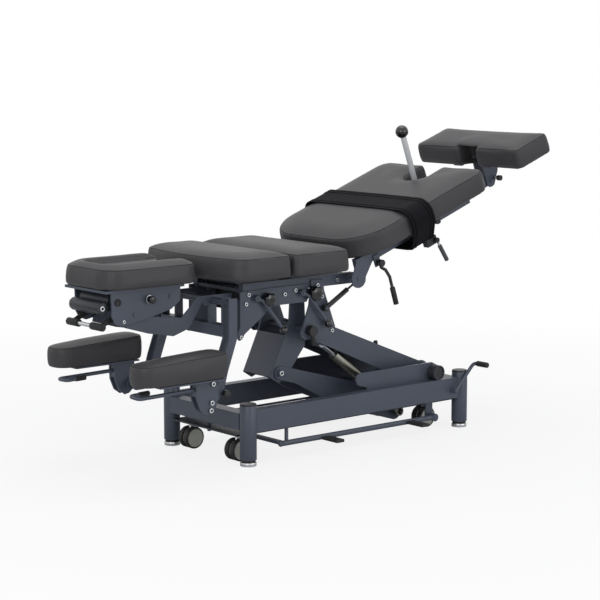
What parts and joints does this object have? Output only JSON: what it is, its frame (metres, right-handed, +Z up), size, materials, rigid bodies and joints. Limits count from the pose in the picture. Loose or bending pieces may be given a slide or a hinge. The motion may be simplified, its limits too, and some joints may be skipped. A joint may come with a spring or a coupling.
{
  "type": "chiropractic table",
  "caption": "Chiropractic flexion and drop table: parallel-arm lift on a four-leg base, split cushions, hanging armrests, leg strap and flexion stick",
  "frame": {"origin": "on the floor, under the middle of the whole table's length and width", "axes": "+X toward the foot end, +Y toward the side away from the levers, +Z up"},
  "size_m": [2.0278, 0.672, 1.1572],
  "materials": {
    "frame_paint": "satin",
    "dark_paint": "satin",
    "black_plastic": "matte",
    "zinc": "brushed",
    "aluminium": "satin",
    "upholstery": "matte",
    "webbing": "matte",
    "white_plastic": "gloss",
    "wheel_grey": "satin"
  },
  "bodies": {
    "base": {"side_rails": "frame_paint", "cross_rails": "frame_paint", "legs": "frame_paint", "leg_caps": "black_plastic", "leg_feet": "zinc", "lift_brackets": "frame_paint", "lift_shafts": "zinc"},
    "upper_arm": {"upper_arm": "frame_paint"},
    "lower_arm": {"lower_arm": "frame_paint"},
    "actuator_rod": {"actuator_rod": "zinc"},
    "actuator_body": {"actuator_body": "aluminium"},
    "top_frame": {"lift_link": "frame_paint", "link_plates": "frame_paint", "hose_elbow": "black_plastic", "top_rails": "frame_paint", "drop_brackets": "frame_paint", "armrest_beam": "frame_paint", "control_box": "black_plastic", "head_carrier": "frame_paint", "frame_bolts": "zinc"},
    "head": {"head_plates": "frame_paint", "head_cushion": "upholstery", "head_pad_bar": "black_plastic"},
    "head_knob": {"head_knob": "black_plastic"},
    "head_handle": {"head_handle": "black_plastic"},
    "chest": {"chest_cushion": "upholstery", "chest_board": "dark_paint"},
    "chest_lever": {"chest_lever": "zinc"},
    "chest_knob": {"chest_knob": "black_plastic"},
    "lumbar": {"lumbar_cushion": "upholstery", "lumbar_board": "dark_paint"},
    "lumbar_lever": {"lumbar_lever": "zinc"},
    "lumbar_knob": {"lumbar_knob": "black_plastic"},
    "leg": {"leg_rails": "frame_paint", "leg_cushion": "upholstery", "leg_strap": "webbing", "strap_buckle": "black_plastic", "flexion_stick": "white_plastic"},
    "strap_lever": {"strap_lever": "zinc"},
    "release_lever": {"release_lever": "black_plastic"},
    "strut_tubes": {"strut_tubes": "black_plastic"},
    "strut_rods": {"strut_rods": "zinc"},
    "foot": {"foot_cushion": "upholstery", "foot_bracket": "frame_paint"},
    "foot_plunger": {"foot_plunger": "zinc"},
    "armrest_front": {"armrest_cushion_front": "upholstery", "armrest_ears_front": "frame_paint"},
    "armrest_rear": {"armrest_cushion_rear": "upholstery", "armrest_ears_rear": "frame_paint"},
    "foot_bar": {"foot_bar": "frame_paint"},
    "castor_crank": {"castor_crank": "dark_paint"},
    "castor_carriage": {"castor_carriage": "dark_paint"},
    "castor_fork_1": {"castor_fork_1": "black_plastic"},
    "castor_wheels_1": {"castor_wheels_1": "wheel_grey"},
    "castor_fork_2": {"castor_fork_2": "black_plastic"},
    "castor_wheels_2": {"castor_wheels_2": "wheel_grey"},
    "castor_fork_3": {"castor_fork_3": "black_plastic"},
    "castor_wheels_3": {"castor_wheels_3": "wheel_grey"},
    "castor_fork_4": {"castor_fork_4": "black_plastic"},
    "castor_wheels_4": {"castor_wheels_4": "wheel_grey"}
  },
  "joints": [
    {"name": "lift", "type": "hinge", "parent": "base", "child": "upper_arm", "pos_m": [0.452, 0, 0.226], "axis": [0, 1, 0], "range_deg": [-18.5, 10]},
    {"name": "lower_arm_swing", "type": "hinge", "parent": "base", "child": "lower_arm", "pos_m": [0.365, 0, 0.0694], "axis": [0, 1, 0], "range_deg": [-18.5, 10]},
    {"name": "frame_level", "type": "hinge", "parent": "upper_arm", "child": "top_frame", "pos_m": [-0.12011, 0, 0.43763], "axis": [0, 1, 0], "range_deg": [-10, 18.5]},
    {"name": "actuator_swing", "type": "hinge", "parent": "upper_arm", "child": "actuator_rod", "pos_m": [-0.033, 0, 0.376], "axis": [0, 1, 0], "range_deg": [-0.4, 0.6]},
    {"name": "actuator_stroke", "type": "slide", "parent": "actuator_rod", "child": "actuator_body", "axis": [0.7922, 0, -0.6103], "range_m": [-0.0575, 0.0315]},
    {"name": "head_tilt", "type": "hinge", "parent": "top_frame", "child": "head", "pos_m": [-0.806, 0, 0.61], "axis": [0, 1, 0], "range_deg": [-20, 5]},
    {"name": "head_clamp", "type": "hinge", "parent": "top_frame", "child": "head_knob", "pos_m": [-0.806, -0.128, 0.61], "axis": [0, 1, 0], "continuous": true},
    {"name": "head_handle_squeeze", "type": "hinge", "parent": "head", "child": "head_handle", "pos_m": [-0.928, 0, 0.556], "axis": [0, 1, 0], "range_deg": [0, 12], "stiffness_Nm_per_rad": 12, "springref_deg": -5.73},
    {"name": "chest_cocking", "type": "hinge", "parent": "top_frame", "child": "chest_lever", "pos_m": [-0.373, -0.162, 0.578], "axis": [0, 1, 0], "range_deg": [0, 12]},
    {"name": "chest_drop", "type": "slide", "parent": "top_frame", "child": "chest", "axis": [0, 0, 1], "range_m": [-0.012, 0]},
    {"name": "chest_tension", "type": "hinge", "parent": "top_frame", "child": "chest_knob", "pos_m": [-0.322, -0.165, 0.57], "axis": [0, 1, 0], "continuous": true},
    {"name": "lumbar_cocking", "type": "hinge", "parent": "top_frame", "child": "lumbar_lever", "pos_m": [-0.163, -0.162, 0.58], "axis": [0, 1, 0], "range_deg": [0, 12]},
    {"name": "lumbar_drop", "type": "slide", "parent": "top_frame", "child": "lumbar", "axis": [0, 0, 1], "range_m": [-0.012, 0]},
    {"name": "lumbar_tension", "type": "hinge", "parent": "top_frame", "child": "lumbar_knob", "pos_m": [-0.106, -0.165, 0.573], "axis": [0, 1, 0], "continuous": true},
    {"name": "leg_flexion", "type": "hinge", "parent": "top_frame", "child": "leg", "pos_m": [0.063, 0, 0.617], "axis": [0, 1, 0], "range_deg": [-5, 30]},
    {"name": "strut_swing", "type": "hinge", "parent": "top_frame", "child": "strut_tubes", "pos_m": [-0.058, 0, 0.515], "axis": [0, 1, 0], "range_deg": [-0.5, 3]},
    {"name": "strut_stroke", "type": "slide", "parent": "strut_tubes", "child": "strut_rods", "axis": [0.8672, 0, 0.4979], "range_m": [-0.0168, 0.0028]},
    {"name": "strap_buckle_lever", "type": "hinge", "parent": "leg", "child": "strap_lever", "pos_m": [0.40672, -0.268, 0.73988], "axis": [0, 1, 0], "range_deg": [-5, 50]},
    {"name": "leg_release", "type": "hinge", "parent": "leg", "child": "release_lever", "pos_m": [0.15652, -0.222, 0.66972], "axis": [0, 1, 0], "range_deg": [-15, 0], "stiffness_Nm_per_rad": 3, "springref_deg": 5.73},
    {"name": "foot_tilt", "type": "hinge", "parent": "leg", "child": "foot", "pos_m": [0.94287, 0, 0.91902], "axis": [0, 1, 0], "range_deg": [-30, 60]},
    {"name": "foot_plunger_pull", "type": "slide", "parent": "foot", "child": "foot_plunger", "axis": [0, -1, 0], "range_m": [0, 0.01], "stiffness_N_per_m": 400, "springref_m": -0.003},
    {"name": "armrest_front_tilt", "type": "hinge", "parent": "top_frame", "child": "armrest_front", "pos_m": [-0.654, -0.243, 0.254], "axis": [0, 1, 0], "range_deg": [-12, 1]},
    {"name": "armrest_rear_tilt", "type": "hinge", "parent": "top_frame", "child": "armrest_rear", "pos_m": [-0.654, 0.243, 0.254], "axis": [0, 1, 0], "range_deg": [-12, 1]},
    {"name": "foot_bar_rock", "type": "hinge", "parent": "base", "child": "foot_bar", "pos_m": [0.43, 0, 0.056], "axis": [0, 1, 0], "range_deg": [-1.6, 1.6], "stiffness_Nm_per_rad": 900, "springref_deg": 1.15},
    {"name": "castor_crank_turn", "type": "hinge", "parent": "base", "child": "castor_crank", "pos_m": [0.521, -0.26, 0.151], "axis": [0, 1, 0], "range_deg": [0, 90]},
    {"name": "castor_lift", "type": "slide", "parent": "base", "child": "castor_carriage", "axis": [0, 0, 1], "range_m": [0, 0.01]},
    {"name": "castor_swivel_1", "type": "hinge", "parent": "castor_carriage", "child": "castor_fork_1", "pos_m": [-0.426, -0.136, 0.092], "axis": [0, 0, 1], "continuous": true},
    {"name": "castor_roll_1", "type": "hinge", "parent": "castor_fork_1", "child": "castor_wheels_1", "pos_m": [-0.444, -0.136, 0.04], "axis": [0, 1, 0], "continuous": true},
    {"name": "castor_swivel_2", "type": "hinge", "parent": "castor_carriage", "child": "castor_fork_2", "pos_m": [-0.426, 0.136, 0.092], "axis": [0, 0, 1], "continuous": true},
    {"name": "castor_roll_2", "type": "hinge", "parent": "castor_fork_2", "child": "castor_wheels_2", "pos_m": [-0.444, 0.136, 0.04], "axis": [0, 1, 0], "continuous": true},
    {"name": "castor_swivel_3", "type": "hinge", "parent": "castor_carriage", "child": "castor_fork_3", "pos_m": [0.49, -0.136, 0.092], "axis": [0, 0, 1], "continuous": true},
    {"name": "castor_roll_3", "type": "hinge", "parent": "castor_fork_3", "child": "castor_wheels_3", "pos_m": [0.472, -0.136, 0.04], "axis": [0, 1, 0], "continuous": true},
    {"name": "castor_swivel_4", "type": "hinge", "parent": "castor_carriage", "child": "castor_fork_4", "pos_m": [0.49, 0.136, 0.092], "axis": [0, 0, 1], "continuous": true},
    {"name": "castor_roll_4", "type": "hinge", "parent": "castor_fork_4", "child": "castor_wheels_4", "pos_m": [0.472, 0.136, 0.04], "axis": [0, 1, 0], "continuous": true}
  ],
  "couplings": [
    {"joint": "lower_arm_swing", "follows": "lift", "ratio": 1},
    {"joint": "frame_level", "follows": "lift", "ratio": -1},
    {"joint": "actuator_swing", "follows": "lift", "ratio": -0.028},
    {"joint": "actuator_stroke", "follows": "lift", "m_per_rad": 0.17704},
    {"joint": "chest_drop", "follows": "chest_cocking", "m_per_rad": -0.0572},
    {"joint": "lumbar_drop", "follows": "lumbar_cocking", "m_per_rad": -0.0572},
    {"joint": "strut_swing", "follows": "leg_flexion", "ratio": 0.1},
    {"joint": "strut_stroke", "follows": "leg_flexion", "m_per_rad": -0.03208},
    {"joint": "castor_lift", "follows": "castor_crank_turn", "m_per_rad": 0.006366}
  ]
}
